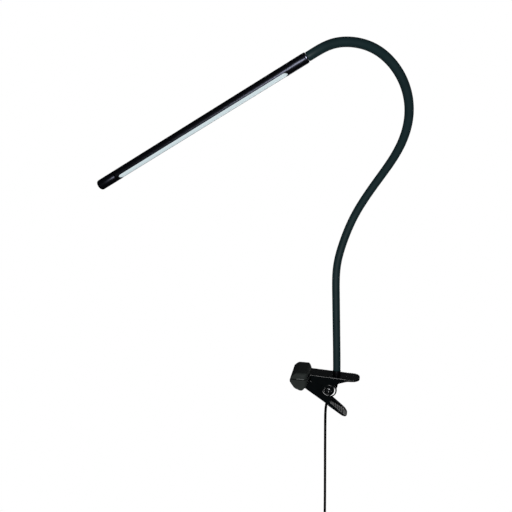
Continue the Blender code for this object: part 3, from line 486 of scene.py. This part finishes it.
def lathed(profile, matrix, steps=96):
    """A solid of revolution about the local Z axis, from (radius, height) points, closed on itself."""
    bm = bmesh.new()
    rings = []
    for radius, height in profile:
        if radius <= 0:
            rings.append([bm.verts.new((0, 0, height))] * steps)
            continue
        angles = [2 * PI * k / steps for k in range(steps)]
        rings.append([bm.verts.new((radius * math.cos(a), radius * math.sin(a), height)) for a in angles])
    closed = profile[0][0] > 0 and profile[-1][0] > 0
    for first, second in zip(rings, rings[1:] + ([rings[0]] if closed else [])):
        for k in range(steps):
            corners = [first[k - 1], first[k], second[k], second[k - 1]]
            unique = [v for i, v in enumerate(corners) if v not in corners[:i]]
            if len(unique) > 2:
                bm.faces.new(unique)
    bmesh.ops.recalc_face_normals(bm, faces=bm.faces)
    mesh = bpy.data.meshes.new("lathed")
    bm.to_mesh(mesh)
    bm.free()
    mesh.transform(matrix)
    return mesh


def swept(points, radii, sides):
    """A round bar along points, its rings carried along without twisting."""
    points = [Vector(p) for p in points]
    along = (points[1] - points[0]).normalized()
    side = along.orthogonal().normalized()
    bm = bmesh.new()
    rings = []
    for i, point in enumerate(points):
        ahead = points[min(i + 1, len(points) - 1)] - points[max(i - 1, 0)]
        turn = along.rotation_difference(ahead)
        side = (turn @ side).normalized()
        along = ahead.normalized()
        other = along.cross(side)
        ring = []
        for k in range(sides):
            angle = 2 * PI * k / sides
            ring.append(bm.verts.new(point + (side * math.cos(angle) + other * math.sin(angle)) * radii[i]))
        rings.append(ring)
    for first, second in zip(rings, rings[1:]):
        for k in range(sides):
            bm.faces.new((first[k - 1], first[k], second[k], second[k - 1]))
    bm.faces.new(rings[0])
    bm.faces.new(rings[-1])
    bmesh.ops.recalc_face_normals(bm, faces=bm.faces)
    mesh = bpy.data.meshes.new("swept")
    bm.to_mesh(mesh)
    bm.free()
    return mesh


def merged(*meshes):
    """Several meshes as one."""
    bm = bmesh.new()
    for mesh in meshes:
        bm.from_mesh(mesh)
    made = bpy.data.meshes.new("merged")
    bm.to_mesh(made)
    bm.free()
    return made


def applied(mesh, prepare):
    """The mesh after the modifiers that prepare(obj) adds."""
    obj = bpy.data.objects.new("working", mesh)
    SCENE.collection.objects.link(obj)
    prepare(obj)
    bpy.context.view_layer.update()
    made = bpy.data.meshes.new_from_object(obj.evaluated_get(bpy.context.evaluated_depsgraph_get()))
    bpy.data.objects.remove(obj)
    return made


def from_frame(node):
    """A clean copy of a CAD node's mesh: its points welded and its flat faces whole."""
    bm = bmesh.new()
    bm.from_mesh(NODES[node].data)
    bmesh.ops.remove_doubles(bm, verts=bm.verts, dist=2e-6)
    bmesh.ops.dissolve_limit(bm, angle_limit=0.01, verts=bm.verts, edges=bm.edges)
    mesh = bpy.data.meshes.new("copy")
    bm.to_mesh(mesh)
    bm.free()
    return mesh


def edged(mesh, width, segments=3, angle=30):
    """Rounds off a mesh's sharp edges."""

    def prepare(obj):
        bevel = obj.modifiers.new("edges", "BEVEL")
        bevel.width = width
        bevel.segments = segments
        bevel.limit_method = "ANGLE"
        bevel.angle_limit = math.radians(angle)
        weighted = obj.modifiers.new("normals", "WEIGHTED_NORMAL")
        weighted.keep_sharp = True

    return applied(mesh, prepare)


def softened(mesh, cell, rounds):
    """A soft moulded form: remeshed evenly and relaxed, so every edge is rounded."""

    def prepare(obj):
        remesh = obj.modifiers.new("remesh", "REMESH")
        remesh.mode = "VOXEL"
        remesh.voxel_size = cell
        smooth = obj.modifiers.new("smooth", "SMOOTH")
        smooth.factor = 0.5
        smooth.iterations = rounds

    return applied(mesh, prepare)


def cut(mesh, *tools):
    """The mesh less every tool mesh."""
    for tool in tools:
        cutter = bpy.data.objects.new("tool", tool)
        SCENE.collection.objects.link(cutter)

        def prepare(obj, cutter=cutter):
            boolean = obj.modifiers.new("cut", "BOOLEAN")
            boolean.operation = "DIFFERENCE"
            boolean.object = cutter

        mesh = applied(mesh, prepare)
        bpy.data.objects.remove(cutter)
    return mesh


def block(low, high):
    """A box between two corners."""
    mesh = bpy.data.meshes.new("block")
    bm = bmesh.new()
    bmesh.ops.create_cube(bm, size=1.0)
    bmesh.ops.scale(bm, vec=[b - a for a, b in zip(low, high)], verts=bm.verts)
    bmesh.ops.translate(bm, vec=[(a + b) / 2 for a, b in zip(low, high)], verts=bm.verts)
    bm.to_mesh(mesh)
    bm.free()
    return mesh


# ---------------------------------------------------------------- neck
NECK_AT, NECK_LENGTH = smooth_curve(NECK_ROUTE, NECK_START_DIRECTION, HEAD_DIRECTION)


def neck_point(distance):
    """A point of the neck's middle line."""
    return Vector(NECK_AT(distance))


def add_neck():
    """A smooth rubber sleeve in one stretch for each bend, swept along the neck's middle line as it stands.
    """
    first = JOINT_FIRST - JOINT_STEP / 2
    cuts = [0.0, *(first + JOINT_STEP * i for i in range(len(NECK_BODIES))), NECK_LENGTH]
    for i, (low, high) in enumerate(zip(cuts, cuts[1:])):
        count = max(4, round((high - low) / RING_STEP))
        distances = [low + (high - low) * k / count for k in range(count + 1)]
        points = [neck_point(d) for d in distances]
        mesh = swept(points, [sleeve_radius(d) for d in distances], 40)
        name = f"neck_sleeve_{i}"
        if i == 0:
            shown(mesh, name, "clip", "neck_rubber", replaces=("neck_link_0",))
        elif i == len(cuts) - 2:
            shown(mesh, name, "head", "neck_rubber", replaces=("neck_link_8",))
        else:
            obj = shown(mesh, name, None, "neck_rubber", replaces=(f"neck_link_{i - 1}", f"neck_link_{i}"))
            joint = JOINT_FIRST + JOINT_STEP * (i - 1)
            start = neck_point(joint - BEND_REACH)
            end = neck_point(joint + BEND_REACH)
            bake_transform(obj)


def sleeve_radius(distance):
    """The sleeve tightens a little into the collar at each end."""
    squeeze, reach = 0.00025, 0.0015
    near_end = min(distance, NECK_LENGTH - distance)
    return NECK_RADIUS - squeeze * max(0.0, 1 - near_end / reach) ** 2


def add_neck_fixing():
    """The neck's collar and hollow foot, with its washer and nut, and the cord's strain relief."""
    foot = Matrix.Translation((NECK_ROUTE[0][0], 0, 0))
    seat = 0.0032
    ferrule = [
        (0.0044, 0.0088),
        (0.00455, 0.00880),
        (0.00468, 0.00868),
        (0.00472, 0.00850),
        (0.00472, seat + 0.0003),
        (0.00465, seat),
        (0.0040, seat),
        (0.0040, -0.0055),
        (0.0037, -0.0058),
        (0.0029, -0.0058),
        (0.0029, 0.0088),
    ]
    shown(lathed(ferrule, foot), "neck_collar", "clip", "ferrule_metal", replaces=("neck_ferrule",))
    washer = [
        (0.0061, -0.0001),
        (0.0062, -0.0002),
        (0.0062, -0.0008),
        (0.0061, -0.0009),
        (0.0043, -0.0009),
        (0.0043, -0.0001),
    ]
    shown(lathed(washer, foot), "stud_washer", "clip", "nut_steel", replaces=("neck_washer",))
    nut = edged(from_frame("neck_nut"), 0.00012, 2)
    shown(nut, "stud_nut", "clip", "nut_steel", replaces=("neck_nut",))
    gland = [
        (0.0036, -0.0061),
        (0.0037, -0.0062),
        (0.0037, -0.0066),
        (0.0035, -0.0069),
        (0.0028, -0.0082),
        (0.0025, -0.0085),
        (0.0019, -0.0085),
        (0.0018, -0.0084),
        (0.0018, -0.0061),
    ]
    shown(lathed(gland, foot, 64), "strain_gland", "clip", "cord_pvc", replaces=("cord_gland",))


# ---------------------------------------------------------------- clip
def pin_frame():
    """The hinge pin's frame: its Z axis runs to +Y."""
    return Matrix.Translation((PIVOT[0], 0, PIVOT[1])) @ Matrix.Rotation(-PI / 2, 4, "X")


def handle_frame():
    """The lower handle's frame: X along it, Y across, Z square to its floor."""
    return Matrix.Translation((PIVOT[0], 0, PIVOT[1])) @ Matrix.Rotation(HANDLE_ANGLE, 4, "Y")


def ring_section(sign):
    """The section of the raised ring on a cheek: a flat top with a sloping outer side."""
    points = [(0.0054, -0.0004), (0.0054, 0.0005), (0.0055, 0.0007), (0.0057, 0.0008)]
    points += [(0.0063, 0.0008), (0.0065, 0.00075), (0.0077, 0.00005), (0.0079, -0.0001)]
    points += [(0.0079, -0.0004)]
    return [(radius, sign * (LEVER_HALF_WIDTH + rise)) for radius, rise in points]


def add_upper_lever():
    """The upper handle with a raised ring on each cheek, round the pin."""
    lever = softened(from_frame("upper_lever"), cell=0.00025, rounds=26)
    shown(lever, "upper_handle", "clip", "clip_plastic", replaces=("upper_lever",))
    rings = [lathed(ring_section(sign), pin_frame(), 128) for sign in (1, -1)]
    shown(merged(*rings), "cheek_rings", "clip", "clip_plastic")


def add_lower_lever():
    """The lower handle with the ribs in its tray."""
    lever = softened(from_frame("lower_lever"), cell=0.00028, rounds=12)
    half_length, width, height = 0.0066, 0.0011, 0.0008
    ribs = []
    for i in range(RIB_COUNT):
        x = RIB_FIRST + RIB_PITCH * i
        rib = block((x, -half_length, HANDLE_FLOOR), (x + width, half_length, HANDLE_FLOOR + height))
        rib.transform(handle_frame())
        ribs.append(edged(rib, 0.0003))
    shown(merged(lever, *ribs), "lower_handle", "jaw", "clip_plastic", replaces=("lower_lever",))


def add_boots():
    """The rubber boots on the jaws, and the strip between them, made pale as a painted highlight in the
    slit between the jaws.
    """
    for node, name, body, rounds in (
        ("upper_jaw_boot", "upper_boot", "clip", 24),
        ("lower_jaw_boot", "lower_boot", "jaw", 18),
    ):
        boot = softened(from_frame(node), cell=0.00032, rounds=rounds)
        shown(boot, name, body, "boot_rubber", replaces=(node,), angle=60)
    # the pale liner is a painted highlight in the slit
    liner = edged(from_frame("grip_liner"), 0.0002)
    shown(liner, "jaw_liner", "jaw", "liner_rubber", replaces=("grip_liner",))


def add_pin():
    """The rivet, with a domed head at the near end and a small closing head at the far one."""
    near = -0.0103
    far = 0.0117
    profile = [
        (0, far + 0.0011),
        (0.0006, far + 0.0012),
        (0.0014, far + 0.0012),
        (0.0021, far + 0.0009),
        (0.0026, far + 0.0004),
        (0.0028, far),
        (PIN_RADIUS, far),
        (PIN_RADIUS, near),
        (0.0035, near),
        (0.0036, near - 0.0001),
        (0.0036, near - 0.0003),
        (0.0034, near - 0.0007),
        (0.0029, near - 0.0012),
        (0.0022, near - 0.0015),
        (0.0014, near - 0.0017),
        (0.0010, near - 0.00165),
        (0.0006, near - 0.0013),
        (0, near - 0.0012),
    ]
    rivet = lathed(profile, pin_frame())
    shown(rivet, "hinge_rivet", "clip", "pin_steel", replaces=("pivot_pin",), angle=50)
    washer = [
        (0.0033, 0.0111),
        (0.0034, 0.0110),
        (0.0034, 0.0104),
        (0.0033, 0.0103),
        (0.00175, 0.0103),
        (0.00175, 0.0111),
    ]
    shown(lathed(washer, pin_frame()), "rivet_washer", "clip", "pin_steel", replaces=("pivot_washer",))


def spring_point(angle, y):
    """A point of the wire's middle line round the pin."""
    x = PIVOT[0] + SPRING_RADIUS * math.cos(angle)
    return Vector((x, y, PIVOT[1] + SPRING_RADIUS * math.sin(angle)))


def handle_point(along, up):
    """A point in the middle plane of the lower handle."""
    return handle_frame() @ Vector((along, 0, up))


def add_spring():
    """The torsion spring in one piece: its coil round the pin and its two legs."""
    far_y = SPRING_NEAR_Y + SPRING_PITCH * SPRING_TURNS
    leg_end = Vector((0.0210, far_y, -0.0022))
    first = spring_point(SPRING_LEG_ANGLE, far_y)
    leg_steps, turn_steps = 12, 40
    points = []
    for k in range(leg_steps):
        bow = Vector((0, 0, 0.0012)) * math.sin(PI * k / leg_steps)
        points.append(leg_end.lerp(first, k / leg_steps) + bow)
    for k in range(turn_steps * SPRING_TURNS + 1):
        turned = k / turn_steps
        points.append(spring_point(SPRING_LEG_ANGLE - 2 * PI * turned, far_y - SPRING_PITCH * turned))
    down = handle_point(0.0062, -0.0098)
    foot = handle_point(0.0078, HANDLE_FLOOR + 0.0010)
    last = points[-1]
    y = SPRING_NEAR_Y - 0.0004
    leg = [last, spring_point(SPRING_LEG_ANGLE - 0.5, y), (down.x, y, down.z), (foot.x, y, foot.z)]
    points += evenly(leg, 0.0008)[1:]
    wire = swept(points, [SPRING_WIRE / 2] * len(points), 14)
    obj = shown(wire, "torsion_spring", None, "spring_steel", replaces=("spring_coil", "spring_lower_leg"))
    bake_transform(obj)


# ---------------------------------------------------------------- head
def tube_stations():
    """Where the tube's rings stand along it: close together over the slot's round ends."""
    end_rings, middle_rings = 20, 60
    chamfer, margin = 0.0003, 0.0006
    w = SLOT_HALF_WIDTH
    inward = [w * (1 - math.cos(PI / 2 * k / end_rings)) for k in range(end_rings + 1)]
    low, high = SLOT_START + w, SLOT_END - w
    return [
        TUBE_START,
        TUBE_START + chamfer,
        SLOT_START - margin,
        *(SLOT_START + s for s in inward),
        *(low + (high - low) * k / middle_rings for k in range(1, middle_rings)),
        *(SLOT_END - s for s in reversed(inward)),
        SLOT_END + margin,
        TUBE_END - chamfer,
        TUBE_END,
    ]


def add_tube():
    """The tube as rings along its length: each ring opens where the light slot is."""
    lathe = head_frame()
    stations = tube_stations()
    narrow = TUBE_RADIUS - 0.0003
    outer = [narrow, *[TUBE_RADIUS] * (len(stations) - 2), narrow]
    w = SLOT_HALF_WIDTH
    bm = bmesh.new()
    sides = 72
    rows = []
    for s, radius in zip(stations, outer):
        open_width = 0.0
        if SLOT_START < s < SLOT_END:
            near = min(s - SLOT_START, SLOT_END - s, w)
            open_width = math.sqrt(w * w - (w - near) ** 2)
        ring = []
        for r in (radius, TUBE_BORE):
            gap = math.asin(open_width / (TUBE_RADIUS if r > TUBE_BORE else TUBE_BORE))
            line = []
            for k in range(sides + 1):
                angle = gap + (2 * PI - 2 * gap) * k / sides  # measured from the slot's middle
                local = Vector((s, -r * math.sin(angle), -r * math.cos(angle)))
                line.append(bm.verts.new(lathe @ local))
            ring.append(line)
        rows.append((open_width > 0, ring))
    for (slot_a, a), (slot_b, b) in zip(rows, rows[1:]):
        for line in (0, 1):
            for k in range(sides):
                bm.faces.new((a[line][k], a[line][k + 1], b[line][k + 1], b[line][k]))
        if slot_a or slot_b:
            for k in (0, sides):
                bm.faces.new((a[0][k], a[1][k], b[1][k], b[0][k]))
    for row in (rows[0][1], rows[-1][1]):
        for k in range(sides):
            bm.faces.new((row[0][k], row[0][k + 1], row[1][k + 1], row[1][k]))
    bmesh.ops.remove_doubles(bm, verts=bm.verts, dist=1e-7)
    bmesh.ops.recalc_face_normals(bm, faces=bm.faces)
    mesh = bpy.data.meshes.new("tube")
    bm.to_mesh(mesh)
    bm.free()
    mesh = edged(mesh, 0.00012, 2, 50)
    shown(mesh, "light_tube", "head", "tube_aluminium", replaces=("head_tube",))


def add_head():
    """The tube with its milky strip, its collar and its rounded tip."""
    add_tube()
    lathe = head_frame() @ Matrix.Rotation(PI / 2, 4, "Y")  # its Z axis runs along the head
    lens = edged(from_frame("head_diffuser"), 0.0002)
    shown(lens, "light_diffuser", "head", "diffuser", replaces=("head_diffuser",), angle=50)
    ferrule = [
        (TUBE_BORE - GAP, 0.0180),
        (TUBE_BORE - GAP, TUBE_START - GAP),
        (TUBE_RADIUS - 0.0001, TUBE_START - GAP),
        (TUBE_RADIUS, TUBE_START - GAP - 0.0001),
        (TUBE_RADIUS, 0.0017),
        (TUBE_RADIUS - 0.0001, 0.0012),
        (TUBE_RADIUS - 0.0003, 0.0008),
        (TUBE_RADIUS - 0.0006, 0.0005),
        (TUBE_RADIUS - 0.0010, 0.0003),
        (0.0027, 0.0003),
        (0.0027, 0.0180),
    ]
    collar = lathed(ferrule, lathe)
    shown(collar, "head_collar", "head", "ferrule_metal", "head_ferrule_metal", replaces=("head_ferrule",))
    corner = 0.0026
    cap = [(0, HEAD_LENGTH)]
    for k in range(13):
        angle = PI / 2 - PI / 2 * k / 12
        x = TUBE_RADIUS - corner + corner * math.cos(angle)
        cap.append((x, HEAD_LENGTH - corner + corner * math.sin(angle)))
    cap += [
        (TUBE_RADIUS, TUBE_END + 0.0007),
        (TUBE_RADIUS - 0.0001, TUBE_END + 0.0005),
        (TUBE_RADIUS - 0.0003, TUBE_END + GAP),
        (TUBE_BORE - GAP, TUBE_END + GAP),
        (TUBE_BORE - GAP, SLOT_END + 0.0005),
        (0, SLOT_END + 0.0005),
    ]
    shown(lathed(cap, lathe), "tip_cap", "head", "tube_aluminium", replaces=("head_tip_cap",))


# ---------------------------------------------------------------- cord and what is on it
def grooves(low_y, high_y):
    """The blocks that cut grip grooves across a shell's face, four at each end."""
    half_length, half_width = 0.0060, 0.0004
    first, pitch = 0.0030, 0.0016
    blocks = []
    for end, way in ((SWITCH_TOP, -1), (SWITCH_BOTTOM, 1)):
        for k in range(4):
            z = end + way * (first + pitch * k)
            low = (SWITCH_X - half_length, low_y, z - half_width)
            blocks.append(block(low, (SWITCH_X + half_length, high_y, z + half_width)))
    return blocks


def add_switch():
    """The switch's two shells and its dished button. Only the rear shell has grooves with depth."""
    front, rear = -SWITCH_HALF_DEPTH, SWITCH_HALF_DEPTH
    made = []
    for node, name, low_y, high_y in (
        ("switch_front", "switch_face", front, front),
        ("switch_back", "switch_rear", rear - 0.0004, rear + 0.001),
    ):
        shell = edged(cut(from_frame(node), *grooves(low_y, high_y)), 0.00015, 2)
        made.append(shown(shell, name, "clip", "switch_plastic", replaces=(node,)))
    top = rear + 0.0009
    dish_radius, dish_depth, dish_rings = 0.0034, 0.0003, 8
    button = [(0, top)]
    for k in range(1, dish_rings + 1):
        share = k / dish_rings
        button.append((dish_radius * share, top + dish_depth * share**2))
    button += [
        (BUTTON_RADIUS - 0.0004, rear + 0.0010),
        (BUTTON_RADIUS - 0.0001, rear + 0.0006),
        (BUTTON_RADIUS, rear + 0.0001),
        (BUTTON_RADIUS, rear - 0.0018),
        (0, rear - 0.0018),
    ]
    matrix = Matrix.Translation((SWITCH_X, 0, BUTTON_Z)) @ Matrix.Rotation(PI / 2, 4, "X")
    cap = lathed(button, matrix, 64)
    made.append(shown(cap, "push_button", "button", "button_plastic", replaces=("switch_button",)))
    return made


def add_tie():
    """The rubber band round the coil."""
    tie = edged(from_frame("cord_tie"), 0.00025)
    return shown(tie, "coil_band", "clip", "tie_rubber", replaces=("cord_tie",))


def add_plug():
    """The plug's grip, its metal shell and the tongue inside it."""
    pieces = []
    for node, name, surface, width, segments in (
        ("usb_plug_body", "plug_grip", "plug_pvc", 0.0003, 3),
        ("usb_plug_shell", "plug_shell", "plug_metal", 0.0001, 2),
        ("usb_plug_tongue", "plug_tongue", "tongue_plastic", 0.0001, 2),
    ):
        mesh = edged(from_frame(node), width, segments)
        pieces.append(shown(mesh, name, "clip", surface, replaces=(node,)))
    return pieces


def paint_inside():
    """The CAD nodes that stay as they are: the neck's cores, the lit strip and its lead."""
    for node, surface in (
        *((f"neck_core_{i}", "core_steel") for i in range(9)),
        ("led_board", "circuit_board"),
        ("led_lead", "cord_pvc"),
    ):
        NODES[node].data.materials.clear()
        NODES[node].data.materials.append(SURFACES[surface])


# ---------------------------------------------------------------- stage and light
def add_stage():
    """A white floor that only the camera sees, so that it neither lights nor mirrors."""
    bpy.ops.mesh.primitive_plane_add(size=12, location=(0, 0, -0.40))
    floor = bpy.context.object
    floor.name = "floor"
    made = bpy.data.materials.new("floor")
    made.use_nodes = True
    tree = made.node_tree
    tree.nodes.clear()
    out = tree.nodes.new("ShaderNodeOutputMaterial")
    glow = tree.nodes.new("ShaderNodeEmission")
    glow.inputs["Color"].default_value = (1, 1, 1, 1)
    glow.inputs["Strength"].default_value = 1.0
    tree.links.new(glow.outputs[0], out.inputs["Surface"])
    floor.data.materials.append(made)
    floor.visible_diffuse = False
    floor.visible_glossy = False
    floor.visible_transmission = False
    floor.visible_shadow = False


def add_world():
    """White behind the object, and a faint even light from all round."""
    world = bpy.data.worlds.new("world")
    SCENE.world = world
    world.use_nodes = True
    tree = world.node_tree
    tree.nodes.clear()
    out = tree.nodes.new("ShaderNodeOutputWorld")
    seen = tree.nodes.new("ShaderNodeBackground")
    seen.inputs["Color"].default_value = (1, 1, 1, 1)
    seen.inputs["Strength"].default_value = 1.0
    around = tree.nodes.new("ShaderNodeBackground")
    around.inputs["Color"].default_value = (0.90, 0.95, 1.0, 1)
    around.inputs["Strength"].default_value = 0.045
    rays = tree.nodes.new("ShaderNodeLightPath")
    mix = tree.nodes.new("ShaderNodeMixShader")
    tree.links.new(rays.outputs["Is Camera Ray"], mix.inputs[0])
    tree.links.new(around.outputs[0], mix.inputs[1])
    tree.links.new(seen.outputs[0], mix.inputs[2])
    tree.links.new(mix.outputs[0], out.inputs["Surface"])


def add_light(name, at, aim, size, radiance, up=(0, 0, 1), only=None):
    """A soft box that faces aim. One with only pieces makes highlights on them and nothing else."""
    light = bpy.data.lights.new(name, "AREA")
    light.shape = "RECTANGLE"
    light.size, light.size_y = size
    light.energy = radiance * PI * size[0] * size[1]
    obj = bpy.data.objects.new(name, light)
    back = (Vector(at) - Vector(aim)).normalized()
    side = Vector(up).cross(back).normalized()
    turn = Matrix((side, back.cross(side), back)).transposed().to_4x4()
    obj.matrix_world = Matrix.Translation(at) @ turn
    obj.visible_camera = False
    SCENE.collection.objects.link(obj)
    if only:
        lit = bpy.data.collections.new(f"lit_by_{name}")
        for piece in only:
            lit.objects.link(bpy.data.objects[piece])
        obj.light_linking.receiver_collection = lit
        obj.visible_diffuse = False


def add_lights():
    """Two soft boxes for all of it, and others that each draw the highlights of a few pieces."""
    clip = (0.03, 0, -0.01)
    middle = (0.0, -0.05, 0.10)
    neck = (0.03, 0, 0.15)
    pivot = (0.035, -0.012, -0.0135)
    root = (0.014, -0.11, 0.36)
    coil = (0.03, 0, -0.28)
    rings = ("cheek_rings",)
    head = ("head_collar", "light_tube")
    hanging = ("switch_face", "switch_rear", "push_button", "coil_band", "plug_grip", "plug_shell")
    over = (-0.04, -0.34, 0.60)
    beside = (0.295, -0.145, -0.264)
    beside_up = (0.48, -0.455, 0.748)
    below = (-0.13, -0.02, -0.40)
    below_up = (1, 0.5, 0)
    add_light("front", (0.10, -1.40, 0.24), neck, (0.36, 0.36), radiance=17)
    add_light("back", (0.25, 1.45, -0.25), middle, (0.9, 0.9), radiance=1.4)
    add_light("edge", over, clip, (0.30, 0.50), radiance=6, only=("upper_handle",))
    add_light("edge_low", over, clip, (0.30, 0.50), radiance=2, only=("lower_handle",))
    add_light("tray", (0.29, 0.53, 0.11), pivot, (0.30, 0.30), radiance=0.52, only=("lower_handle",))
    add_light("side", beside, pivot, (0.16, 0.60), radiance=24, up=beside_up, only=rings)
    add_light("under", below, pivot, (0.16, 0.40), radiance=4, up=below_up, only=rings)
    add_light("root", (0.42, -0.95, 0.52), root, (0.50, 0.30), radiance=15, only=head)
    add_light("spark", (0.63, -0.45, 0.73), root, (0.25, 0.25), radiance=110, only=("head_collar",))
    add_light("low", (-0.50, -0.90, -0.15), coil, (0.8, 0.8), radiance=1.4, only=hanging)


add_camera()
band = add_tie()
switch_pieces = add_switch()
plug_pieces = add_plug()
add_cord(SURFACES["cord_pvc"])
add_neck()
add_neck_fixing()
add_upper_lever()
add_lower_lever()
add_boots()
add_pin()
add_spring()
add_head()
paint_inside()
add_stage()
add_world()
add_lights()
SCENE.view_settings.view_transform = "Standard"
